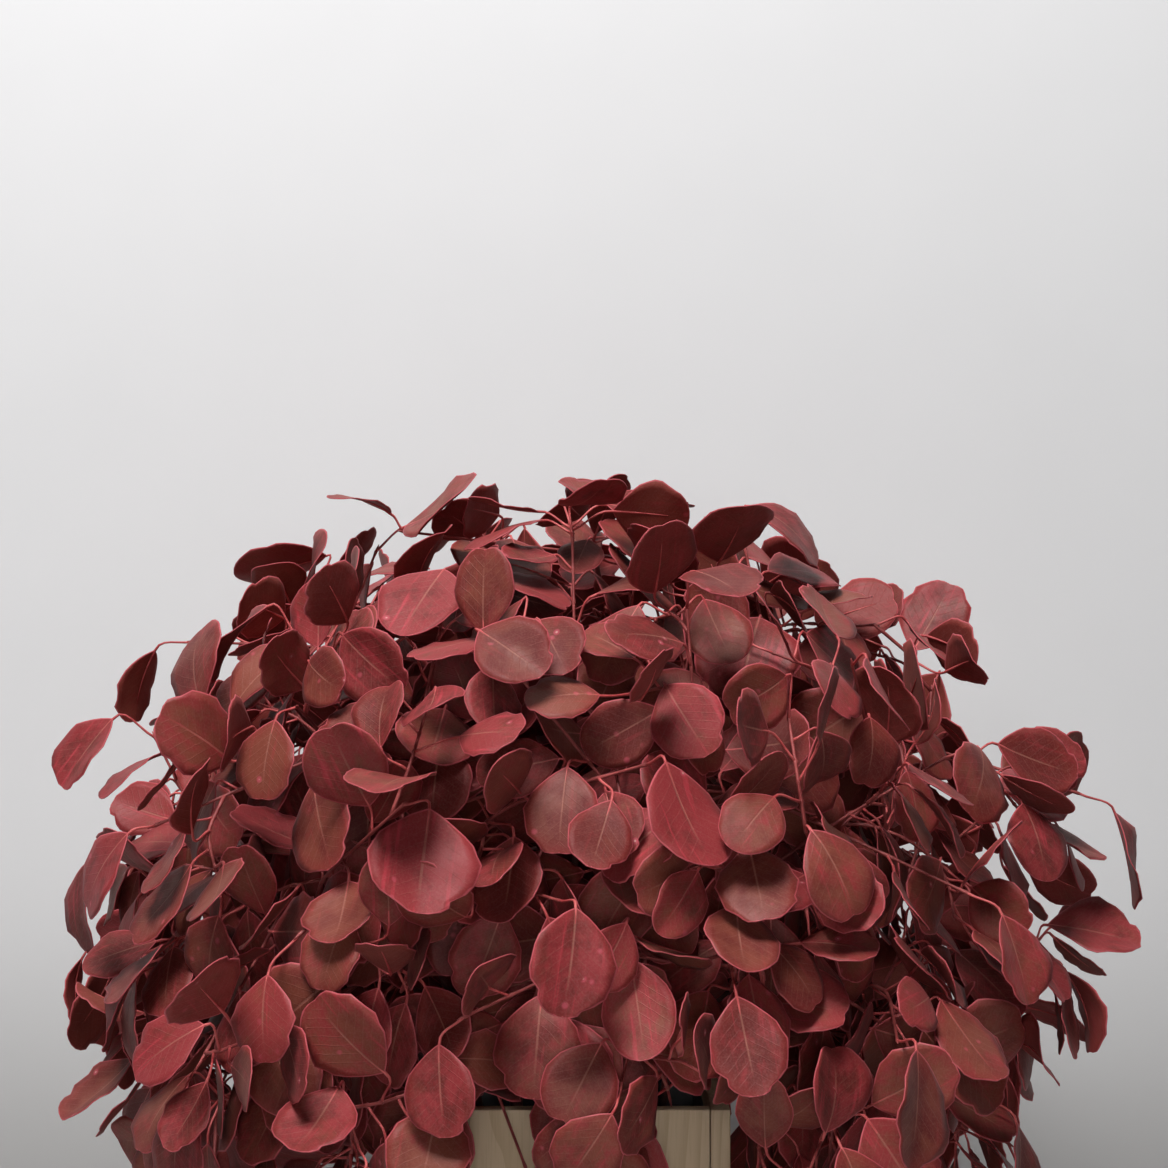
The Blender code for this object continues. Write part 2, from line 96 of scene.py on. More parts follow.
class Finish:
    """A material while it is put together round one Principled shader."""

    def __init__(self, name):
        self.material = bpy.data.materials.new(name)
        self.material.use_nodes = True
        self.tree = self.material.node_tree
        self.shader = self.tree.nodes["Principled BSDF"]

    def node(self, kind, inputs=(), **settings):
        """A new node with its settings, and its inputs given values or joined to outputs."""
        made = self.tree.nodes.new(kind)
        for setting, value in settings.items():
            setattr(made, setting, value)
        self.feed(made, dict(inputs))
        return made

    def feed(self, node, inputs):
        """Gives a node's sockets their values, or joins them to other nodes' outputs."""
        for name, value in inputs.items():
            if isinstance(value, bpy.types.NodeSocket):
                self.tree.links.new(value, node.inputs[name])
            else:
                node.inputs[name].default_value = value

    def sum(self, operation, one, two=0.0):
        """The output of one step of arithmetic."""
        return self.node("ShaderNodeMath", {0: one, 1: two}, operation=operation).outputs[0]

    def rise(self, value, start, end, low=0.0, high=1.0):
        """A value taken smoothly from low to high as it passes from start to end."""
        inputs = {"Value": value, "From Min": start, "From Max": end, "To Min": low, "To Max": high}
        made = self.node("ShaderNodeMapRange", inputs, interpolation_type="SMOOTHSTEP")
        return made.outputs["Result"]

    def blend(self, share, one, two):
        """One colour turned into another by a share."""
        made = self.node("ShaderNodeMix", {0: share, 6: one, 7: two}, data_type="RGBA")
        return made.outputs[2]

    def noise(self, place, scale, detail=3.0, roughness=0.55):
        """Cloudy noise from 0 to 1 at a place."""
        inputs = {"Vector": place, "Scale": scale, "Detail": detail, "Roughness": roughness}
        return self.node("ShaderNodeTexNoise", inputs).outputs["Fac"]

    def stretched(self, place, scale, offset=(0.0, 0.0, 0.0)):
        """A place scaled along its own axes, and moved."""
        inputs = {"Vector": place, "Scale": scale, "Location": offset}
        return self.node("ShaderNodeMapping", inputs).outputs["Vector"]

    def relief(self, height, distance, strength=1.0):
        """Raises the surface by a height from 0 to 1 over a distance in metres."""
        inputs = {"Height": height, "Distance": distance, "Strength": strength}
        made = self.node("ShaderNodeBump", inputs)
        self.feed(self.shader, {"Normal": made.outputs["Normal"]})


def planed_softwood():
    """Pale softwood cut from a log: rings round the pith, fine fibres, specks and scuffs."""
    wood = Finish("planed_softwood")
    early_wood, late_wood = (0.64, 0.49, 0.325, 1), (0.43, 0.285, 0.150, 1)
    fibre_brown, weathered = (0.40, 0.285, 0.170, 1), (0.52, 0.42, 0.31, 1)
    dark_speck = (0.10, 0.055, 0.030, 1)
    log = wood.node("ShaderNodeAttribute", attribute_name="place_in_log").outputs["Vector"]
    wander = wood.noise(wood.stretched(log, (9.0, 9.0, 1.6)), 2.0, 2.0)
    parts = wood.node("ShaderNodeSeparateXYZ", {"Vector": log}).outputs
    across = wood.node("ShaderNodeCombineXYZ", {"X": parts["X"], "Y": parts["Y"]}).outputs[0]
    from_pith = wood.node("ShaderNodeVectorMath", {0: across}, operation="LENGTH").outputs["Value"]
    wavy = wood.sum("ADD", from_pith, wood.sum("MULTIPLY", wander, RING_WANDER))
    in_year = wood.sum("FRACT", wood.sum("DIVIDE", wavy, RING_SPACING))
    late = wood.sum("MULTIPLY", wood.rise(in_year, 0.35, 0.97), wood.rise(in_year, 1.0, 0.975))
    fibre = wood.noise(wood.stretched(log, (1.0, 1.0, 0.035)), 900.0, 2.0)
    cloud = wood.noise(wood.stretched(log, (1.0, 1.0, 0.30)), 26.0, 3.0)
    colour = wood.blend(wood.sum("MULTIPLY", late, 0.40), early_wood, late_wood)
    colour = wood.blend(wood.rise(fibre, 0.45, 0.75, 0.0, 0.28), colour, fibre_brown)
    colour = wood.blend(wood.rise(cloud, 0.50, 0.80, 0.0, 0.30), colour, weathered)
    cells = wood.node(
        "ShaderNodeTexVoronoi", {"Vector": wood.stretched(log, (1.0, 1.0, 0.45)), "Scale": 55.0}
    )
    sparse = wood.rise(wood.noise(log, 17.0, 1.0), 0.56, 0.60)
    speck = wood.sum("MULTIPLY", wood.rise(cells.outputs["Distance"], 0.10, 0.05), sparse)
    colour = wood.blend(wood.sum("MULTIPLY", speck, 0.75), colour, dark_speck)
    wood.feed(wood.shader, {
        "Base Color": colour,
        "Roughness": wood.rise(fibre, 0.2, 0.8, 0.58, 0.74),
        "Specular IOR Level": 0.35,
    })
    wood.relief(wood.sum("ADD", wood.sum("MULTIPLY", late, -0.35), fibre), 0.00016)
    return wood.material


def deselected():
    """Leaves object mode on nothing selected, before an operator adds or picks a piece."""
    bpy.ops.object.select_all(action="DESELECT")


def dressed(piece, material, nodes):
    """Gives a finished piece its material, its place in the record and its body."""
    piece.data.materials.clear()
    piece.data.materials.append(material)
    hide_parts(*nodes)
    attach(piece, "root")


def planed_board(node, across, through, lengthways, material):
    """A board with eased edges in a solid's place; the axes say how it was cut from its log."""
    low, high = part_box(node)
    deselected()
    bpy.ops.mesh.primitive_cube_add(size=1, location=(low + high) / 2, scale=high - low)
    board = bpy.context.object
    board.name = "planed_" + node
    bpy.ops.object.transform_apply(location=True, rotation=True, scale=True)
    bpy.ops.object.mode_set(mode="EDIT")
    bpy.ops.mesh.select_all(action="SELECT")
    bpy.ops.mesh.bevel(offset=EASED_EDGE, segments=3, affect="EDGES")
    bpy.ops.object.mode_set(mode="OBJECT")
    bpy.ops.object.shade_smooth_by_angle(angle=SMOOTH_BELOW)

    rng = random.Random(node)
    middle = (low + high) / 2
    aside = rng.uniform(-PITH_ASIDE, PITH_ASIDE)
    pith = (aside, rng.uniform(*PITH_DISTANCE), rng.uniform(0.0, LOG_LENGTH))
    in_log = board.data.attributes.new("place_in_log", "FLOAT_VECTOR", "POINT")
    for corner, place in zip(board.data.vertices, in_log.data):
        off = corner.co - middle
        place.vector = (off[across] + pith[0], off[through] + pith[1], off[lengthways] + pith[2])
    dressed(board, material, [node])


softwood = planed_softwood()
for wall, (across, through) in WALL_AXES.items():
    for number in range(1, 5):
        planed_board(f"board_{wall}_{number}", across, through, 2, softwood)


# The base board
# One board of the same softwood, laid flat between the walls to close the foot of the
# box and carry the liner. Its grain runs from side to side.
planed_board("base_board", 1, 2, 0, softwood)


# The liner
# A square tub of thin black plastic, dropped into the box to hold the water. Its upright
# corners are moulded round, its rim is rolled, and its floor lies on the base board.
LINER_WALL = 0.0016
LINER_CORNER = 0.0022
RIM_BEAD = 0.0007
LEAST_UPRIGHT = 0.1


def moulded_plastic():
    """Black plastic with a fine moulded grain and dried water marks."""
    plastic = Finish("moulded_black_plastic")
    place = plastic.node("ShaderNodeTexCoord").outputs["Object"]
    grain = plastic.noise(place, 1400.0, 2.0)
    marks = plastic.noise(plastic.stretched(place, (1.0, 1.0, 0.3)), 45.0, 4.0)
    black, dried_mark = (0.014, 0.014, 0.015, 1), (0.045, 0.043, 0.040, 1)
    plastic.feed(plastic.shader, {
        "Base Color": plastic.blend(plastic.rise(marks, 0.5, 0.75), black, dried_mark),
        "Roughness": plastic.rise(marks, 0.4, 0.7, 0.38, 0.60),
    })
    plastic.relief(grain, 0.00005)
    return plastic.material


low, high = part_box("liner")
deselected()
bpy.ops.mesh.primitive_cube_add(size=1, location=(low + high) / 2, scale=high - low)
liner = bpy.context.object
liner.name = "moulded_liner"
bpy.ops.object.transform_apply(location=True, rotation=True, scale=True)
bpy.ops.object.mode_set(mode="EDIT")
bpy.ops.mesh.select_all(action="DESELECT")
bpy.ops.object.mode_set(mode="OBJECT")
for face in liner.data.polygons:
    face.select = face.normal.z > 0.5
bpy.ops.object.mode_set(mode="EDIT")
bpy.ops.mesh.delete(type="ONLY_FACE")
bpy.ops.mesh.select_mode(type="EDGE")
bpy.ops.mesh.select_all(action="DESELECT")
bpy.ops.object.mode_set(mode="OBJECT")
for edge in liner.data.edges:
    ends = [liner.data.vertices[v].co.z for v in edge.vertices]
    edge.select = max(ends) - min(ends) > LEAST_UPRIGHT
bpy.ops.object.mode_set(mode="EDIT")
bpy.ops.mesh.bevel(offset=LINER_CORNER, segments=4, affect="EDGES")
bpy.ops.object.mode_set(mode="OBJECT")
wall = liner.modifiers.new("wall", "SOLIDIFY")
wall.thickness = LINER_WALL
wall.offset = -1
wall.use_even_offset = True
bpy.ops.object.modifier_apply(modifier=wall.name)
bead = liner.modifiers.new("rolled rim", "BEVEL")
bead.width = RIM_BEAD
bead.segments = 3
bead.limit_method = "ANGLE"
bead.angle_limit = SMOOTH_BELOW
bpy.ops.object.modifier_apply(modifier=bead.name)
bpy.ops.object.shade_smooth_by_angle(angle=SMOOTH_BELOW)
dressed(liner, moulded_plastic(), ["liner"])


# The water
# It stands in the liner to less than half its height, with the cut stems in it. It is
# a little brown from their bark, so only its still surface shows, in the dark of the box.


def standing_water():
    """Still water with a faint brown cast."""
    water = Finish("standing_water")
    place = water.node("ShaderNodeTexCoord").outputs["Object"]
    dust = water.noise(place, 160.0, 4.0)
    brownish, dusty = (0.10, 0.085, 0.055, 1), (0.17, 0.12, 0.08, 1)
    colour = water.blend(water.rise(dust, 0.55, 0.75, 0.0, 0.6), brownish, dusty)
    water.feed(water.shader, {"Base Color": colour, "Roughness": 0.04, "IOR": 1.333})
    water.relief(water.noise(place, 30.0, 1.0), 0.0004, 0.25)
    return water.material


water_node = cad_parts["water"]
water_finish = standing_water()
for slot in water_node.material_slots:
    slot.material = water_finish


# The stems' lines
# Each stem of eucalyptus stands on the liner's floor, leans on its way up through the
# mouth of the box, and arches outwards into the dome. These lines are the solids' own,
# and nothing that grows later may cross them.
BOX_SIDE = 0.210
BOX_HEIGHT = 0.280
BOARD_THICKNESS = 0.012
SEAT_GAP = 0.0003
STEM_COUNT = 14
STEM_RADIUS_AT_FOOT = 0.0030
STEM_RADIUS_AT_TIP = 0.0015
STEM_TIP_REACH = 0.185
STEM_POINTS = 6
LOWEST_STEM_HEIGHT = -0.08
MOUTH_RING = (0.015, 0.055)
FOOT_RING_SHARE = 0.45
STEM_RISE_SHARE = 0.6
STEM_SWAY = 0.012
STEM_REACH_SPREAD = (0.94, 1.06)
DOME_RISE = 0.075
DOME_CENTRE = Vector((0.0, 0.0, BOX_HEIGHT + DOME_RISE))
GUARD = 0.0011
CORNER_REACH = 1.3
MOST_GUARDS = 6000


def even_directions(count, highest, lowest):
    """Directions spread evenly over a band of a sphere by the golden angle."""
    golden_angle = math.pi * (3 - math.sqrt(5))
    found = []
    for k in range(count):
        height = highest - (k + 0.5) * (highest - lowest) / count
        ring = math.sqrt(1 - height * height)
        turn = k * golden_angle
        found.append(Vector((ring * math.cos(turn), ring * math.sin(turn), height)))
    return found


def bezier(start, control, end, t):
    """A point on a curve with one control point."""
    return start * (1 - t) ** 2 + control * (2 * t * (1 - t)) + end * t * t


def along(points, t):
    """(point, direction) at a share t of the way along a line of points."""
    place_on = min(max(t, 0.0), 0.99999) * (len(points) - 1)
    k = int(place_on)
    step = points[k + 1] - points[k]
    return points[k] + step * (place_on - k), step.normalized()


def stem_line(direction, rng):
    """Foot, mouth of the box, and the arch out to the stem's tip."""
    level = Vector((direction.x, direction.y, 0.0))
    outwards = level.normalized()
    ring = MOUTH_RING[0] + MOUTH_RING[1] * level.length
    floor = BOARD_THICKNESS + LINER_WALL + 3 * SEAT_GAP
    foot = outwards * (ring * FOOT_RING_SHARE) + Vector((0, 0, floor))
    mouth = outwards * ring + Vector((0, 0, BOX_HEIGHT))
    tip = DOME_CENTRE + direction * STEM_TIP_REACH * rng.uniform(*STEM_REACH_SPREAD)
    rise = (mouth - foot).normalized() * (tip - mouth).length * STEM_RISE_SHARE
    sway = Vector((rng.uniform(-1, 1), rng.uniform(-1, 1), 0)) * STEM_SWAY
    control = mouth + rise + sway
    arch = [bezier(mouth, control, tip, k / (STEM_POINTS - 1)) for k in range(STEM_POINTS)]
    return [foot] + arch


def stem_radii(count):
    """The stem's radius at each of its points."""
    slim = STEM_RADIUS_AT_TIP - STEM_RADIUS_AT_FOOT
    return [STEM_RADIUS_AT_FOOT + slim * k / (count - 1) for k in range(count)]


class Room:
    """What has grown so far, to keep the next twig or leaf clear of it."""

    def __init__(self):
        self.owners = []
        self.trees = []
        self.balls = np.zeros((MOST_GUARDS, 4))

    def add(self, owner, guard):
        """Remembers a guard, a closed shell a little larger than the piece."""
        tree, middle, radius = guard
        self.balls[len(self.trees)] = (*middle, radius)
        self.owners.append(owner)
        self.trees.append(tree)

    def clear(self, guard, passing=()):
        """True if the guard meets nothing placed, apart from the owners it may pass."""
        tree, middle, radius = guard
        balls = self.balls[:len(self.trees)]
        apart = np.linalg.norm(balls[:, :3] - np.array(middle), axis=1)
        for k in np.nonzero(apart < balls[:, 3] + radius)[0]:
            if self.owners[k] not in passing and tree.overlap(self.trees[k]):
                return False
        return True


def guard_of(points, faces):
    """A search tree with the middle and radius of what it covers."""
    middle = sum(points, Vector()) / len(points)
    radius = max((p - middle).length for p in points)
    return BVHTree.FromPolygons(points, faces), middle, radius


def line_guard(points, radii, guard=GUARD):
    """The guard of a tube: a square tube a little thicker than it."""
    corners = []
    faces = []
    for k, (point, radius) in enumerate(zip(points, radii)):
        step = points[min(k + 1, len(points) - 1)] - points[max(k - 1, 0)]
        one = step.orthogonal().normalized()
        two = step.normalized().cross(one)
        reach = (radius + guard) * CORNER_REACH
        corners += [point + one * reach, point + two * reach, point - one * reach, point - two * reach]
    for k in range(len(points) - 1):
        for n in range(4):
            a, b = 4 * k + n, 4 * k + (n + 1) % 4
            faces.append((a, b, b + 4, a + 4))
    return guard_of(corners, faces)


room = Room()
stems = []
for k, direction in enumerate(even_directions(STEM_COUNT, 1.0, LOWEST_STEM_HEIGHT)):
    line = stem_line(direction, random.Random(f"stem {k}"))
    room.add(("stem", k), line_guard(line, stem_radii(len(line))))
    stems.append(line)


# The twigs' lines
# Side twigs fork from the upper part of each stem and reach out to the edge of the dome,
# which is squarer than a ball, with a few sprays that stand out of it.
TWIG_LAYERS = (
    ("outer", 72, 1.0, -0.42, 1.0),
    ("collar", 16, 0.0, -0.55, 0.62),
)
TWIG_RADIUS = (0.0013, 0.0009)
TWIG_REACH = 0.258
TWIG_SPACING = 0.008
TWIG_ROOTS = 14
LOWEST_ROOT_AT = 0.15
WIDEST_FORK = math.radians(100)
TWIG_REACH_SPREAD = (0.93, 1.05)
TWIG_RISE = 0.22
TURN_COST = 0.020
LOAD_COST = 0.006
DOME_SQUARENESS = 2.9
DOME_WIDENING = 0.016
STRAYS = (
    ((1.0, -0.15, 0.26), 0.085, 0.22),
    ((-1.0, -0.10, 0.16), 0.040, 0.22),
    ((0.93, -0.20, -0.24), 0.050, 0.20),
    ((0.0, 0.0, 1.0), 0.020, 0.70),
    ((-0.12, -0.10, 1.0), 0.085, 0.24),
    ((-0.72, 0.0, 0.68), 0.012, 0.18),
    ((0.42, 0.0, 0.90), -0.010, 0.20),
    ((0.70, 0.05, 0.72), 0.012, 0.16),
    ((-0.90, -0.10, -0.42), -0.045, 0.26),
)
FORK_LENGTH = 0.006
BOX_CLEARANCE = 0.004
SEEN_FROM = Vector(CAMERA_PLACE)
FRONT_SEEN = ((-0.052, -0.022), (0.066, 0.106))


def twig_reach(direction):
    """How far from the dome's centre a twig ends in that direction."""
    power = DOME_SQUARENESS
    reach = TWIG_REACH / sum(abs(part) ** power for part in direction) ** (1 / power)
    reach += DOME_WIDENING * abs(direction.x) * (1 - abs(direction.z))
    for towards, extra, spread in STRAYS:
        angle = direction.angle(Vector(towards))
        reach += extra * math.exp(-((angle / spread) ** 2))
    return reach


def clear_of_the_box(points):
    """True if no point lies in the box or against its walls, or hides what is seen of its front."""
    half = BOX_SIDE / 2
    top, side = BOX_HEIGHT + BOX_CLEARANCE, half + BOX_CLEARANCE
    if any(p.z < top and max(abs(p.x), abs(p.y)) < side for p in points):
        return False
    before = [p - SEEN_FROM for p in points if p.y < -half]
    on_front = [SEEN_FROM + ray * (-half - SEEN_FROM.y) / ray.y for ray in before]
    if not on_front or min(spot.z for spot in on_front) > BOX_HEIGHT:
        return True
    left, right = (end(spot.x for spot in on_front) for end in (min, max))
    return all(right < start or left > end for start, end in FRONT_SEEN)


def fork_places(parents):
    """(parent's number, step, root, direction) of every place on the lines where a twig could fork."""
    places = []
    for parent, (_, line) in enumerate(parents):
        for step in range(TWIG_ROOTS):
            share = LOWEST_ROOT_AT + (1 - LOWEST_ROOT_AT) * step / (TWIG_ROOTS - 1)
            places.append((parent, step, *along(line, share)))
    return places


def twig_line(root, heading, end):
    """A twig's three points: it leaves between its stem's direction and its end's, and rises."""
    reach = end - root
    lean = heading * 0.5 + reach.normalized() * 0.5 + Vector((0, 0, TWIG_RISE))
    control = root + lean.normalized() * reach.length * 0.5
    return [root, bezier(root, control, end, 0.5), end]


def grow_twigs(layers, parents, roots, guard=GUARD):
    """Twigs that fork from the parents, each a (stem, line): (stem, name, three points) each."""
    places = fork_places(parents)
    twigs = []
    load = [0] * len(parents)
    for layer, count, highest, lowest, reach_share in layers:
        for k, direction in enumerate(even_directions(count, highest, lowest)):
            rng = random.Random(f"{layer} twig {k}")
            reach = twig_reach(direction) * reach_share * rng.uniform(*TWIG_REACH_SPREAD)
            end = DOME_CENTRE + direction * reach
            choices = []
            for parent, step, root, heading in places:
                turn = heading.angle(end - root)
                if turn < WIDEST_FORK:
                    cost = (end - root).length + TURN_COST * turn + LOAD_COST * load[parent]
                    choices.append((cost, parent, step, root, heading))
            choices.sort(key=lambda choice: choice[:3])
            for _, parent, _, root, heading in choices:
                if any((root - other).length <= TWIG_SPACING for other in roots):
                    continue
                line = twig_line(root, heading, end)
                start = root + (line[1] - root).normalized() * FORK_LENGTH
                shell = line_guard([start] + line[1:], [TWIG_RADIUS[0]] * 3, guard)
                if clear_of_the_box(line[1:]) and room.clear(shell):
                    name = f"{layer} {k}"
                    room.add(("twig", name), shell)
                    twigs.append((parents[parent][0], name, line))
                    roots.append(root)
                    load[parent] += 1
                    break
    return twigs


roots = []
arches = [(number, line[1:]) for number, line in enumerate(stems)]
twigs = grow_twigs(TWIG_LAYERS, arches, roots)


# The leaves' places
# A round leaf hangs on its own long petiole from the end of each twig and from places
# along it, to one side and the other by turns. The first leaves are the solids' own.
LEAF_THICKNESS = 0.0010
LEAF_LENGTH = (0.048, 0.068)
LEAF_BREADTH = (0.70, 0.98)
PETIOLE_LENGTH = (0.016, 0.032)
PETIOLE_WIDTH = (0.0009, 0.0014)
LEAF_PLACES = (1.0, 0.68, 0.40)
LEAF_TRIES = 18
LEAF_BENDS = (-0.35, 0.25, 0.5, 0.8)
LEAF_FOLD = (-0.10, 0.28)
LEAF_WAVE = (0.0, 0.035)
STANDING_SHARE = 0.22
STANDING_PULL = 0.25
HANGING_PULL = 0.75
LEAST_FACING = 0.8
WIDEST_AT = 0.52
STRIP_AT = (0.27, 0.68, 0.965)
WAVES_ALONG = 1.3
AT_TIP = 0.95
TIP_LAP = 0.003
STALK_CLEAR = (0.005, 0.003)


def half_breadth(s):
    """The leaf's outline: its half breadth at a share s of its length, as a share of the most."""
    if s < WIDEST_AT:
        return math.sin(math.pi / 2 * s / WIDEST_AT) ** 0.85
    return math.sqrt(max(0.0, 1 - ((s - WIDEST_AT) / (1 - WIDEST_AT)) ** 2))


def blade_point(leaf, s, v):
    """A point on the middle surface of a leaf: s along it, v from -1 to 1 across."""
    bend = leaf["bend"]
    turned = bend * s
    forward = leaf["length"] * math.sin(turned) / bend
    dropped = leaf["length"] * (1 - math.cos(turned)) / bend
    across = leaf["length"] * leaf["breadth"] / 2 * half_breadth(s) * v
    wave = leaf["wave"] * leaf["length"] * math.sin(2 * math.pi * (WAVES_ALONG * s + leaf["phase"])) * v
    lift = leaf["fold"] * abs(across) + wave * half_breadth(s)
    normal = leaf["normal"] * math.cos(turned) + leaf["axis"] * math.sin(turned)
    spot = leaf["base"] + leaf["axis"] * forward - leaf["normal"] * dropped
    return spot + leaf["side"] * across + normal * lift


def draw_leaf(root, along_twig, place_on, turn_side, rng, looseness, size):
    """One leaf's drawn shape and place: petiole from root to base, blade from base along axis."""
    outwards = (root - DOME_CENTRE).normalized()
    aside = along_twig.cross(outwards)
    if aside.length < 0.2:
        aside = along_twig.orthogonal()
    aside = aside.normalized() * turn_side

    def stray(amount):
        return Vector([rng.uniform(-1, 1) for _ in range(3)]) * amount

    down = Vector((0, 0, -1))
    if place_on > AT_TIP:
        petiole = along_twig + outwards * 0.2 + stray(0.35 * looseness)
    else:
        petiole = aside * 0.9 + along_twig * 0.55 + outwards * 0.5 + stray(0.35 * looseness)
    petiole.normalize()
    stands_up = rng.random() < STANDING_SHARE
    axis = petiole * 0.55 + aside * 0.15 + outwards * 0.15 + stray(0.5 * looseness)
    axis += down * (-STANDING_PULL if stands_up else HANGING_PULL)
    axis.normalize()
    normal = outwards * 0.90 - down * (0.25 - 0.5 * outwards.z) + stray(0.45 * looseness)
    normal -= axis * normal.dot(axis)
    normal.normalize()
    base = root + petiole * rng.uniform(*PETIOLE_LENGTH) * size
    return {
        "root": root - along_twig * (TIP_LAP if place_on > AT_TIP else 0.0),
        "base": base,
        "axis": axis,
        "normal": normal,
        "side": axis.cross(normal).normalized(),
        "length": rng.uniform(*LEAF_LENGTH) * size,
        "breadth": rng.uniform(*LEAF_BREADTH),
        "bend": rng.choice(LEAF_BENDS) * rng.uniform(0.7, 1.2),
        "fold": rng.uniform(*LEAF_FOLD),
        "wave": rng.uniform(*LEAF_WAVE),
        "phase": rng.random(),
    }


def leaf_strip(leaf):
    """Pairs of edge points of a leaf, from the petiole's root to the blade's tip."""
    root, base = leaf["root"], leaf["base"]
    stalk = (base - root).normalized()
    across = stalk.cross(leaf["normal"])
    if across.length < 0.3:
        across = stalk.cross(leaf["axis"])
    across.normalize()
    if across.dot(leaf["side"]) < 0:
        across = -across
    thin, wide = (width / 2 for width in PETIOLE_WIDTH)
    pairs = [
        (root - across * thin, root + across * thin),
        (base - leaf["side"] * wide, base + leaf["side"] * wide),
    ]
    for s in STRIP_AT:
        pairs.append((blade_point(leaf, s, -1), blade_point(leaf, s, 1)))
    return pairs


def blade_guard(leaf, guard):
    """The guard of a blade: its strip, widened and thickened."""
    lift = leaf["normal"] * (LEAF_THICKNESS / 2 + guard)
    corners = []
    for left, right in leaf_strip(leaf)[1:]:
        wider = (right - left).normalized() * guard
        corners += [left - wider + lift, right + wider + lift, left - wider - lift, right + wider - lift]
    faces = []
    for k in range(len(corners) // 4 - 1):
        a = 4 * k
        for one, two in ((0, 1), (1, 3), (3, 2), (2, 0)):
            faces.append((a + one, a + two, a + two + 4, a + one + 4))
    end = len(corners) - 4
    faces += [(0, 1, 3, 2), (end, end + 1, end + 3, end + 2)]
    return guard_of(corners, faces)


def petiole_guard(leaf, guard):
    """The guard of a petiole, from just outside its own twig to just short of the blade."""
    root, base = leaf["root"], leaf["base"]
    step = (base - root).normalized()
    reach = max(PETIOLE_WIDTH) / 2
    from_twig, from_blade = STALK_CLEAR
    return line_guard([root + step * from_twig, base - step * from_blade], [reach, reach], guard)


def inside_the_solids(points):
    """True if no point lies outside the box round the solids."""
    low, high = solids_box
    return all(low[n] < p[n] < high[n] for p in points for n in range(3))


def fits(leaf, twig, guard):
    """The guards of a leaf that is clear of all else and inside the solids' reach, or None."""
    corners = [p for pair in leaf_strip(leaf)[1:] for p in pair]
    if not clear_of_the_box(corners) or (guard < GUARD and not inside_the_solids(corners)):
        return None
    blade = blade_guard(leaf, guard)
    stalk = petiole_guard(leaf, guard)
    if room.clear(blade) and room.clear(stalk, passing=(("twig", twig),)):
        return blade, stalk
    return None


def grow_leaves(twigs, places, guard=GUARD, size=1.0, faced=None):
    """Leaves at those shares of the twigs' length: each the try that covers most, or the first."""
    leaves = []
    for round_number, place_on in enumerate(places):
        for k, (stem, name, line) in enumerate(twigs):
            root, heading = along(line, place_on)
            rng = random.Random(f"{name} leaf at {place_on}")
            turn_side = 1 if (k + round_number) % 2 else -1
            best = None
            most = 0.0
            for attempt in range(LEAF_TRIES):
                if attempt == LEAF_TRIES // 2:
                    turn_side = -turn_side
                looseness = 1 + attempt / LEAF_TRIES
                leaf = draw_leaf(root, heading, place_on, turn_side, rng, looseness, size)
                facing = (blade_point(leaf, 0.5, 0.0) - DOME_CENTRE).normalized()
                covered = min([(facing - other).length for other in faced or ()], default=1.0)
                covered *= LEAST_FACING + abs(facing.dot(leaf["normal"]))
                if covered > most:
                    guards = fits(leaf, name, guard)
                    if guards:
                        best = leaf, facing, guards
                        most = covered
                        if faced is None:
                            break
            if best:
                leaf, facing, guards = best
                for shell in guards:
                    room.add(("leaf", name), shell)
                leaf.update(stem=stem, twig=name, place_on=place_on)
                leaves.append(leaf)
                if faced is not None:
                    faced.append(facing)
    return leaves


leaves = grow_leaves(twigs, LEAF_PLACES, faced=[])


# The leaves and twigs between
# A real bunch is far closer than the solids: more leaves stand between theirs on the
# same twigs, and shorter twigs carry leaves inside the dome and down over the stems.
CLOSE_GUARD = 0.0004
BETWEEN_PLACES = (0.84, 0.54, 0.26)
INNER_LAYERS = (
    ("between", 110, 1.0, -0.50, 0.93),
    ("inner", 110, 1.0, -0.58, 0.78),
    ("heart", 70, 1.0, -0.60, 0.58),
)
INNER_PLACES = (1.0, 0.82, 0.64, 0.46, 0.28)
BETWEEN_SIZE = 0.90

leaves += grow_leaves(twigs, BETWEEN_PLACES, CLOSE_GUARD, BETWEEN_SIZE)
for layer in INNER_LAYERS:
    parents = arches + [(stem, line) for stem, _, line in twigs]
    more = grow_twigs([layer], parents, roots, CLOSE_GUARD)
    leaves += grow_leaves(more, INNER_PLACES, CLOSE_GUARD, BETWEEN_SIZE)
    twigs += more


# Stems, twigs and petioles
# The stems are brown-red wood, the twigs are slimmer and redder, with a swelling where
# each leaf joins, and the petioles are bright red threads that curve over to their
# blades and run on under them as the midrib.
STEM_STEPS = 24
TWIG_STEPS = 9
PETIOLE_STEPS = 6
MIDRIB_STEPS = 5
BLADE_THICKNESS = 0.0006
BUD_LENGTH = 0.0050
SWELLING = 1.45
SWELLING_SHARE = 0.025
PETIOLE_RADIUS = 0.00100
PETIOLE_WAIST = 0.00025
MIDRIB_RADIUS = 0.00095
MIDRIB_TAPER = 0.00080
MIDRIB_REACH = 0.72
MERGE_WITHIN = 0.00002


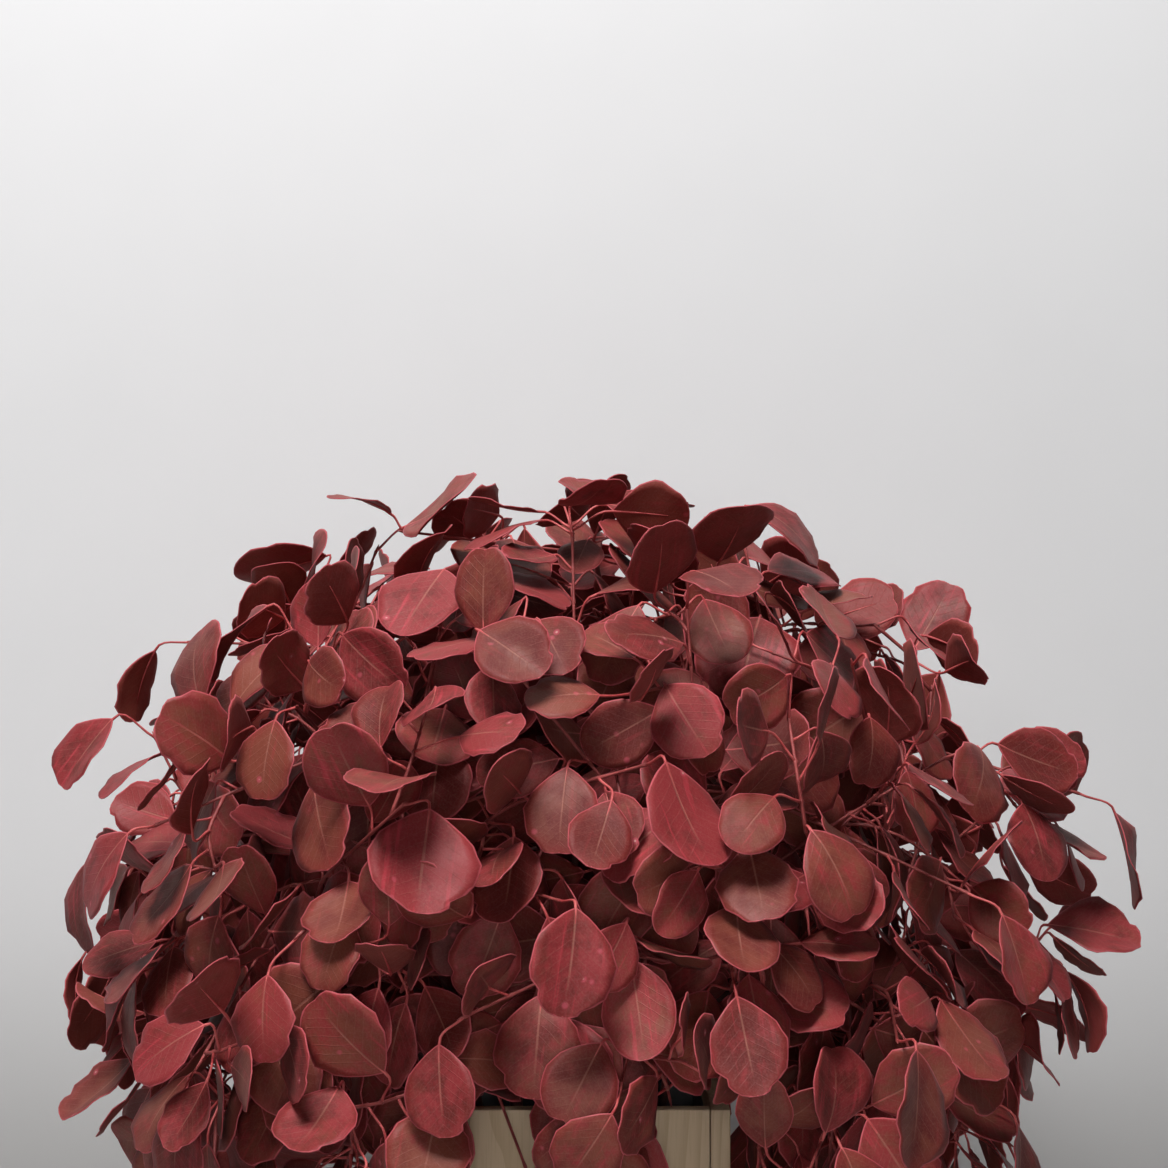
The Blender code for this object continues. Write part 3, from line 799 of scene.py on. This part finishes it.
def dyed_bark():
    """Bark and petioles after the dye: brown-red when old, bright red when young."""
    bark = Finish("dyed_bark")
    place = bark.node("ShaderNodeTexCoord").outputs["Object"]
    youth = bark.node("ShaderNodeAttribute", attribute_name="youth").outputs["Fac"]
    cloud = bark.noise(place, 70.0, 4.0)
    dark_bark, brown_red = (0.062, 0.022, 0.017, 1), (0.165, 0.040, 0.034, 1)
    bright_red, pink = (0.380, 0.040, 0.044, 1), (0.640, 0.130, 0.125, 1)
    old = bark.blend(bark.rise(cloud, 0.35, 0.70), dark_bark, brown_red)
    young = bark.blend(bark.rise(cloud, 0.30, 0.70), bright_red, pink)
    colour = bark.blend(bark.rise(youth, 0.0, 1.0), old, young)
    bark.feed(bark.shader, {"Base Color": colour, "Roughness": 0.50, "Specular IOR Level": 0.40})
    bark.relief(bark.noise(bark.stretched(place, (1.0, 1.0, 0.5)), 800.0, 2.0), 0.00020)
    return bark.material


def smooth_line(points, count):
    """A curve through all the points, with a number of even steps."""
    ends = [points[0] * 2 - points[1], *points, points[-1] * 2 - points[-2]]
    found = []
    for step in range(count + 1):
        place_on = min(step / count * (len(points) - 1), len(points) - 1.00001)
        k = int(place_on)
        t = place_on - k
        a, b, c, d = ends[k:k + 4]
        bend = a * (-t + 2 * t * t - t ** 3) + b * (2 - 5 * t * t + 3 * t ** 3)
        found.append((bend + c * (t + 4 * t * t - 3 * t ** 3) + d * (t ** 3 - t * t)) / 2)
    return found


def on_twig(line, t):
    """A point of a twig whose middle bend is rounded."""
    near, far = 0.35, 0.65
    if near < t < far:
        return bezier(along(line, near)[0], line[1], along(line, far)[0], (t - near) / (far - near))
    return along(line, t)[0]


def round_lines(name, routes, roundness, youth):
    """Tapering round lines, each (points, radii), made one mesh with its age."""
    curve = bpy.data.curves.new(name, "CURVE")
    curve.dimensions = "3D"
    curve.bevel_depth = 1.0
    curve.bevel_resolution = roundness
    curve.use_fill_caps = True
    for points, radii in routes:
        spline = curve.splines.new("POLY")
        spline.points.add(len(points) - 1)
        spline.points.foreach_set("co", [part for p in points for part in (*p, 1.0)])
        spline.points.foreach_set("radius", radii)
    lines = bpy.data.objects.new(name, curve)
    bpy.context.scene.collection.objects.link(lines)
    deselected()
    lines.select_set(True)
    bpy.context.view_layer.objects.active = lines
    bpy.ops.object.convert(target="MESH")
    bpy.ops.object.mode_set(mode="EDIT")
    bpy.ops.mesh.select_all(action="SELECT")
    bpy.ops.mesh.remove_doubles(threshold=MERGE_WITHIN)
    bpy.ops.mesh.normals_make_consistent(inside=False)
    bpy.ops.object.mode_set(mode="OBJECT")
    bpy.ops.object.shade_smooth()
    age = lines.data.attributes.new("youth", "FLOAT", "POINT")
    age.data.foreach_set("value", [youth] * len(lines.data.vertices))
    return lines


def twig_route(line, shares):
    """A twig's points and radii, with a swelling at each leaf and a bud at its end."""
    steps = {k / TWIG_STEPS for k in range(TWIG_STEPS + 1)}
    for share in shares:
        steps |= {max(share - SWELLING_SHARE, 0.0), share, min(share + SWELLING_SHARE, 1.0)}
    thick, slim = TWIG_RADIUS
    points, radii = [], []
    for t in sorted(steps):
        points.append(on_twig(line, t))
        swelling = SWELLING if t in shares else 1.0
        radii.append((thick + (slim - thick) * t) * swelling)
    ahead = (line[2] - line[1]).normalized()
    points += [points[-1] + ahead * BUD_LENGTH * 0.6, points[-1] + ahead * BUD_LENGTH]
    radii += [slim * 0.75, slim * 0.25]
    return points, radii


def petiole_route(leaf, line):
    """A petiole's points and radii, curving from the twig to the blade and on under it."""
    root = on_twig(line, leaf["place_on"])
    base, axis = leaf["base"], leaf["axis"]
    reach = (base - root).length
    leaving = root + (leaf["base"] - leaf["root"]).normalized() * reach * 0.45
    arriving = base - axis * reach * 0.40
    points, radii = [], []
    for step in range(PETIOLE_STEPS):
        t = step / PETIOLE_STEPS
        one = bezier(root, leaving, arriving, t)
        two = bezier(leaving, arriving, base, t)
        points.append(one * (1 - t) + two * t)
        radii.append(PETIOLE_RADIUS - PETIOLE_WAIST * math.sin(math.pi * t))
    for step in range(MIDRIB_STEPS + 1):
        s = MIDRIB_REACH * step / MIDRIB_STEPS
        points.append(blade_point(leaf, max(s, 0.001), 0.0) - leaf["normal"] * BLADE_THICKNESS * 0.6)
        radii.append(MIDRIB_RADIUS - MIDRIB_TAPER * s / MIDRIB_REACH)
    return points, radii


def joined(name, objects):
    """Several meshes made one, under a new name."""
    deselected()
    for obj in objects:
        obj.select_set(True)
    bpy.context.view_layer.objects.active = objects[0]
    bpy.ops.object.join()
    objects[0].name = objects[0].data.name = name
    return objects[0]


bark = dyed_bark()
lines_of = {name: line for _, name, line in twigs}
for number, stem in enumerate(stems):
    shares = {name: [] for owner, name, _ in twigs if owner == number}
    own = [leaf for leaf in leaves if leaf["stem"] == number]
    for leaf in own:
        shares[leaf["twig"]].append(leaf["place_on"])
    wood = smooth_line(stem, STEM_STEPS)
    twig_routes = [twig_route(lines_of[name], shares[name]) for name in shares]
    petiole_routes = [petiole_route(leaf, lines_of[leaf["twig"]]) for leaf in own]
    grown = [
        round_lines("stem", [(wood, stem_radii(len(wood)))], roundness=3, youth=0.0),
        round_lines("twigs", twig_routes, roundness=1, youth=0.5),
        round_lines("petioles", petiole_routes, roundness=1, youth=1.0),
    ]
    growth = joined(f"growth_{number + 1:02d}", grown)
    dressed(growth, bark, [f"leafy_stem_{number + 1:02d}"])


# The leaf blades
# Thin, tough, round blades with a red margin. Some have a dip at the tip, and some were
# nibbled while they grew. The dye has left them dull wine red over olive brown, with
# pink streaks, blotches and specks, and the undersides are a dusty rose.
OUTER_GRID = (8, 16)
INNER_GRID = (6, 10)
MASTER_LENGTH_MM = 56
MASTER_HALF_BREADTH = 0.42
MASTERS = (
    {"dip": 0.000, "nibbles": ((0.74, 1, 0.10),), "scallop": 0.012},
    {"dip": 0.060, "nibbles": (), "scallop": 0.014},
    {"dip": 0.022, "nibbles": ((0.84, -1, 0.24), (0.95, 1, 0.40)), "scallop": 0.020},
    {"dip": 0.010, "nibbles": ((0.50, 1, 0.08), (0.78, 1, 0.22), (0.92, -1, 0.30)), "scallop": 0.026},
    {"dip": 0.035, "nibbles": ((0.66, -1, 0.12), (0.88, 1, 0.15)), "scallop": 0.030},
)
NIBBLE_SPREAD = 0.055
SCALLOPS_ALONG = 4.3
TIP_FROM, TIP_LENGTH = 0.70, 0.30
DIP_WIDTH = 0.24
RIM_STEPS = 200
TIP_MERGE = 0.0001
CREASE_RADIUS = 0.002
RIPPLE = 0.012
RIPPLES_ALONG = 3.1


def dyed_leaf():
    """A blade's finish, from its own measures: across and along it, and how far in from its edge."""
    leaf = Finish("dyed_leaf")
    olive, wine = (0.200, 0.046, 0.027, 1), (0.120, 0.0112, 0.0092, 1)
    edge_red, margin_red = (0.205, 0.0195, 0.0175, 1), (0.520, 0.085, 0.105, 1)
    wash_red, streak_pink = (0.270, 0.0235, 0.029, 1), (0.430, 0.035, 0.051, 1)
    spot_pink, pit_pale = (0.560, 0.080, 0.120, 1), (0.620, 0.400, 0.350, 1)
    vein_brown, rib_brown = (0.300, 0.120, 0.095, 1), (0.380, 0.150, 0.110, 1)
    dusty_rose, bloom = (0.220, 0.039, 0.030, 1), (0.420, 0.215, 0.185, 1)
    place = leaf.node("ShaderNodeTexCoord").outputs["Object"]
    measure = leaf.node("ShaderNodeUVMap", uv_map="across_and_along").outputs["UV"]
    across, up = leaf.node("ShaderNodeSeparateXYZ", {"Vector": measure}).outputs[:2]
    edge, tone, dye, seed, under = (
        leaf.node("ShaderNodeAttribute", attribute_name=name).outputs["Fac"]
        for name in ("from_edge_mm", "tone", "dye", "leaf_seed", "underside")
    )
    off_rib = leaf.sum("ABSOLUTE", across)
    shifted = leaf.node("ShaderNodeCombineXYZ", {"X": across, "Y": up, "Z": seed}).outputs[0]

    mottle = leaf.noise(place, 55.0, 4.0)
    streak = leaf.noise(leaf.stretched(shifted, (7.0, 1.3, 1.0)), 1.0, 3.0)
    blotch = leaf.noise(leaf.stretched(shifted, (1.6, 2.6, 1.0), (3.1, 1.7, 0.0)), 1.6, 4.0, 0.62)
    fine = leaf.noise(place, 900.0, 2.0)

    wine_share = leaf.sum("ADD", tone, leaf.rise(mottle, 0.30, 0.70, -0.22, 0.22))
    colour = leaf.blend(leaf.rise(wine_share, 0.15, 0.85), olive, wine)
    to_edge = leaf.rise(edge, 9.0, 0.5, 0.0, 0.62)
    colour = leaf.blend(to_edge, colour, edge_red)

    wash = leaf.rise(leaf.sum("ADD", blotch, leaf.sum("MULTIPLY", dye, 0.40)), 0.60, 0.90, 0.0, 0.80)
    colour = leaf.blend(wash, colour, wash_red)
    streaks = leaf.sum("MULTIPLY", leaf.rise(streak, 0.56, 0.74), leaf.rise(dye, 0.1, 0.9, 0.20, 0.85))
    colour = leaf.blend(streaks, colour, streak_pink)

    cells = leaf.node("ShaderNodeTexVoronoi", {"Vector": place, "Scale": 75.0, "Randomness": 1.0})
    here = leaf.rise(leaf.noise(place, 28.0, 2.0), 0.54, 0.60)
    spot = leaf.sum("MULTIPLY", leaf.rise(cells.outputs["Distance"], 0.20, 0.09), here)
    colour = leaf.blend(leaf.sum("MULTIPLY", spot, 0.55), colour, spot_pink)
    pit = leaf.sum("MULTIPLY", leaf.rise(cells.outputs["Distance"], 0.065, 0.045), here)
    colour = leaf.blend(leaf.sum("MULTIPLY", pit, 0.55), colour, pit_pale)

    slant = leaf.sum("SUBTRACT", up, leaf.sum("MULTIPLY", off_rib, 0.34))
    unsteady = leaf.sum("MULTIPLY", mottle, 0.7)
    rung = leaf.sum("PINGPONG", leaf.sum("ADD", leaf.sum("MULTIPLY", slant, 9.0), unsteady), 0.5)
    side_vein = leaf.sum("MULTIPLY", leaf.rise(rung, 0.075, 0.0), leaf.rise(edge, 1.5, 5.0))
    colour = leaf.blend(leaf.sum("MULTIPLY", side_vein, 0.16), colour, vein_brown)
    rib = leaf.sum("MULTIPLY", leaf.rise(off_rib, 0.034, 0.014), leaf.rise(up, 0.90, 0.45))
    colour = leaf.blend(leaf.sum("MULTIPLY", rib, 0.45), colour, rib_brown)
    colour = leaf.blend(leaf.sum("MULTIPLY", under, 0.45), colour, dusty_rose)
    colour = leaf.blend(leaf.rise(edge, 0.95, 0.45, 0.0, 0.80), colour, margin_red)
    colour = leaf.blend(leaf.rise(fine, 0.35, 0.75, 0.0, 0.10), colour, bloom)

    leaf.feed(leaf.shader, {
        "Base Color": colour,
        "Roughness": leaf.rise(mottle, 0.25, 0.75, 0.50, 0.66),
        "Specular IOR Level": 0.30,
        "Sheen Weight": 0.03,
        "Sheen Roughness": 0.45,
        "Sheen Tint": (0.95, 0.66, 0.64, 1.0),
    })
    grain = leaf.sum("ADD", leaf.sum("MULTIPLY", fine, 0.25), leaf.sum("MULTIPLY", mottle, 0.5))
    veins = leaf.sum("ADD", leaf.sum("MULTIPLY", side_vein, 0.30), leaf.sum("MULTIPLY", rib, -0.50))
    leaf.relief(leaf.sum("ADD", grain, veins), 0.00028)
    return leaf.material


def outline(master, s, v):
    """Across and along a flat blade, each as a share, with its dip, nibbles and scalloped edge."""
    across = half_breadth(s) * v
    for at, side, depth in master["nibbles"]:
        if v * side > 0:
            across *= 1 - depth * math.exp(-((s - at) / NIBBLE_SPREAD) ** 2)
    across *= 1 + master["scallop"] * math.sin(2 * math.pi * (SCALLOPS_ALONG * s + v))
    near_tip = min(max((s - TIP_FROM) / TIP_LENGTH, 0.0), 1.0)
    dip = master["dip"] * near_tip ** 2 * math.exp(-((across / DIP_WIDTH) ** 2))
    return across, s - dip


def blade_master(master, grid):
    """One flat blade of unit length with a wall, for the leaves to be bent from."""
    deselected()
    bpy.ops.mesh.primitive_grid_add(x_subdivisions=grid[0], y_subdivisions=grid[1], size=2)
    blade = bpy.context.object
    rim = [outline(master, k / RIM_STEPS, side) for side in (-1, 1) for k in range(RIM_STEPS + 1)]
    rim = np.array(rim) * (MASTER_HALF_BREADTH, 1.0)
    edge = blade.data.attributes.new("from_edge_mm", "FLOAT", "POINT")
    for corner, from_edge in zip(blade.data.vertices, edge.data):
        s = (1 - math.cos(math.pi * (corner.co.y + 1) / 2)) / 2
        across, up = outline(master, s, corner.co.x)
        corner.co = (across, up, 0.0)
        apart = rim - np.array((across * MASTER_HALF_BREADTH, up))
        from_edge.value = np.linalg.norm(apart, axis=1).min() * MASTER_LENGTH_MM
    measure = blade.data.uv_layers[0]
    measure.name = "across_and_along"
    for loop, spot in zip(blade.data.loops, measure.data):
        corner = blade.data.vertices[loop.vertex_index].co
        spot.uv = (corner.x, corner.y)
    bpy.ops.object.mode_set(mode="EDIT")
    bpy.ops.mesh.select_all(action="SELECT")
    bpy.ops.mesh.remove_doubles(threshold=TIP_MERGE)
    bpy.ops.object.mode_set(mode="OBJECT")
    wall = blade.modifiers.new("wall", "SOLIDIFY")
    wall.thickness = BLADE_THICKNESS
    wall.offset = 0
    bpy.ops.object.modifier_apply(modifier=wall.name)
    bpy.ops.object.shade_smooth()
    under = blade.data.attributes.new("underside", "FLOAT", "POINT")
    for corner, below in zip(blade.data.vertices, under.data):
        below.value = 1.0 if corner.co.z < 0 else 0.0
    for name in ("tone", "dye", "leaf_seed"):
        blade.data.attributes.new(name, "FLOAT", "POINT")
    return blade


def bent_points(leaf, flat):
    """The flat blade's points bent to a leaf's own shape and place."""
    across, up, level = flat.T
    bend, length = leaf["bend"], leaf["length"]
    axis, normal, side = (np.array(leaf[name]) for name in ("axis", "normal", "side"))
    turned = bend * up
    out = length * leaf["breadth"] / 2 * across
    crease = np.sqrt(out ** 2 + CREASE_RADIUS ** 2) - CREASE_RADIUS
    wave = leaf["wave"] * length * np.sin(2 * math.pi * (WAVES_ALONG * up + leaf["phase"])) * across
    ripples = np.sin(2 * math.pi * (RIPPLES_ALONG * up + 2.3 * leaf["phase"]))
    ripple = RIPPLE * length * ripples * across ** 2
    lift = leaf["fold"] * crease + wave + ripple * np.sign(across) + level
    forward = length * np.sin(turned) / bend
    dropped = length * (1 - np.cos(turned)) / bend
    points = np.array(leaf["base"]) + np.outer(forward, axis) - np.outer(dropped, normal)
    points += np.outer(out, side)
    points += np.outer(lift * np.cos(turned), normal) + np.outer(lift * np.sin(turned), axis)
    return points


def bent_blade(leaf):
    """A leaf's own blade, bent from one of the masters, with its own colour."""
    rng = random.Random(f"look of {leaf['twig']} at {leaf['place_on']}")
    deep_inside = leaf["twig"].startswith(("inner", "heart"))
    master = rng.choice(inner_masters if deep_inside else outer_masters)
    blade = master.copy()
    blade.data = master.data.copy()
    bpy.context.scene.collection.objects.link(blade)
    count = len(blade.data.vertices)
    flat = np.empty(count * 3)
    blade.data.vertices.foreach_get("co", flat)
    blade.data.vertices.foreach_set("co", bent_points(leaf, flat.reshape(-1, 3)).ravel())
    twig_tone = random.Random(f"tone of {leaf['twig']}").random()
    looks = {
        "tone": 0.45 * twig_tone + 0.55 * rng.random(),
        "dye": rng.random() ** 1.3,
        "leaf_seed": rng.uniform(0.0, 50.0),
    }
    for name, value in looks.items():
        blade.data.attributes[name].data.foreach_set("value", [value] * count)
    return blade


outer_masters = [blade_master(master, OUTER_GRID) for master in MASTERS]
inner_masters = [blade_master(master, INNER_GRID) for master in MASTERS]
leaf_finish = dyed_leaf()
for number in range(STEM_COUNT):
    blades = [bent_blade(leaf) for leaf in leaves if leaf["stem"] == number]
    foliage = joined(f"foliage_{number + 1:02d}", blades)
    dressed(foliage, leaf_finish, [f"leafy_stem_{number + 1:02d}"])
for master in outer_masters + inner_masters:
    bpy.data.objects.remove(master)


# The studio
# A pale painted wall stands close behind the bunch and is coved into a pale floor, and
# painted shade darkens the foot of the wall. One wide soft light stands above and in
# front of them, and a faint one lifts the box's front.
# The room round them is pale, but gives next to no light.
WALL_AT = 0.43
STUDIO_WIDTH = 5.0
WALL_HEIGHT = 3.6
FLOOR_FORWARD = 2.4
COVE_RADIUS = 0.10
# Painted shade: the wall is darkened from the floor up to this height.
PAINTED_SHADE_TOP = 0.42
NEAR = 0.01
ROOM_LIGHT = 0.005
ROOM_PALENESS = 0.66


def matt_paint():
    """Matt paint, a little deeper on the floor than up the wall, with painted shade darkening the foot
    of the wall, and clear from behind.
    """
    paint = Finish("matt_paint")
    place = paint.node("ShaderNodeTexCoord").outputs["Object"]
    height = paint.node("ShaderNodeSeparateXYZ", {"Vector": place}).outputs["Z"]
    floor_paint_and_painted_shade = (0.40, 0.393, 0.386, 1)
    duller, paler = (0.765, 0.765, 0.772, 1), (0.795, 0.795, 0.802, 1)
    wall_paint = paint.blend(paint.noise(place, 9.0, 2.0), duller, paler)
    # Painted shade: the foot of the wall darkens smoothly to the floor's grey, standing in for the
    # light's falloff and the bunch's shadow.
    colour = paint.blend(paint.rise(height, 0.0, PAINTED_SHADE_TOP), floor_paint_and_painted_shade, wall_paint)
    paint.feed(paint.shader, {"Base Color": colour, "Roughness": 0.9, "Specular IOR Level": 0.1})
    behind = paint.node("ShaderNodeNewGeometry").outputs["Backfacing"]
    clear = paint.node("ShaderNodeBsdfTransparent").outputs["BSDF"]
    mix = paint.node("ShaderNodeMixShader", {0: behind, 1: paint.shader.outputs["BSDF"], 2: clear})
    end = paint.tree.nodes["Material Output"]
    paint.feed(end, {"Surface": mix.outputs["Shader"]})
    return paint.material


deselected()
middle = (WALL_AT - FLOOR_FORWARD) / 2
bpy.ops.mesh.primitive_plane_add(size=1, location=(0, middle, -SEAT_GAP))
studio = bpy.context.object
studio.name = "studio"
studio.scale = (STUDIO_WIDTH, WALL_AT + FLOOR_FORWARD, 1)
bpy.ops.object.transform_apply(location=True, rotation=True, scale=True)
bpy.ops.object.mode_set(mode="EDIT")
bpy.ops.mesh.select_mode(type="EDGE")
bpy.ops.mesh.select_all(action="DESELECT")
bpy.ops.object.mode_set(mode="OBJECT")
for edge in studio.data.edges:
    edge.select = all(studio.data.vertices[v].co.y > WALL_AT - NEAR for v in edge.vertices)
bpy.ops.object.mode_set(mode="EDIT")
bpy.ops.mesh.extrude_region_move(TRANSFORM_OT_translate={"value": (0, 0, WALL_HEIGHT)})
bpy.ops.mesh.select_all(action="DESELECT")
bpy.ops.object.mode_set(mode="OBJECT")
for edge in studio.data.edges:
    ends = [studio.data.vertices[v].co for v in edge.vertices]
    edge.select = all(end.y > WALL_AT - NEAR and end.z < NEAR for end in ends)
bpy.ops.object.mode_set(mode="EDIT")
bpy.ops.mesh.bevel(offset=COVE_RADIUS, segments=12, affect="EDGES")
bpy.ops.object.mode_set(mode="OBJECT")
bpy.ops.object.shade_smooth()
studio.data.materials.append(matt_paint())


def soft_light(name, place, towards, size, power, spread):
    """A square soft light, not seen itself, that shines towards a point and spreads so far."""
    deselected()
    bpy.ops.object.light_add(type="AREA", location=place)
    light = bpy.context.object
    light.name = name
    light.data.shape = "SQUARE"
    light.data.size = size
    light.data.energy = power
    light.data.spread = spread
    light.rotation_euler = (Vector(towards) - Vector(place)).to_track_quat("-Z", "Y").to_euler()
    light.visible_camera = False


soft_light("overhead_light", (-0.42, -1.35, 2.80), (0.0, 0.10, 0.60), 1.0, 97, math.pi)
soft_light("front_light", (0.05, -2.20, 0.55), (0.02, 0.0, 0.30), 0.4, 0.20, math.radians(26))
world = bpy.data.worlds.new("pale_room")
world.use_nodes = True
room_tree = world.node_tree
background = room_tree.nodes["Background"]
background.inputs["Color"].default_value = (0.97, 0.98, 1.0, 1.0)
looked_at = room_tree.nodes.new("ShaderNodeLightPath").outputs["Is Camera Ray"]
strength = room_tree.nodes.new("ShaderNodeMapRange")
strength.inputs["To Min"].default_value = ROOM_LIGHT
strength.inputs["To Max"].default_value = ROOM_PALENESS
room_tree.links.new(looked_at, strength.inputs["Value"])
room_tree.links.new(strength.outputs["Result"], background.inputs["Strength"])
bpy.context.scene.world = world
bpy.context.scene.view_settings.view_transform = "Standard"
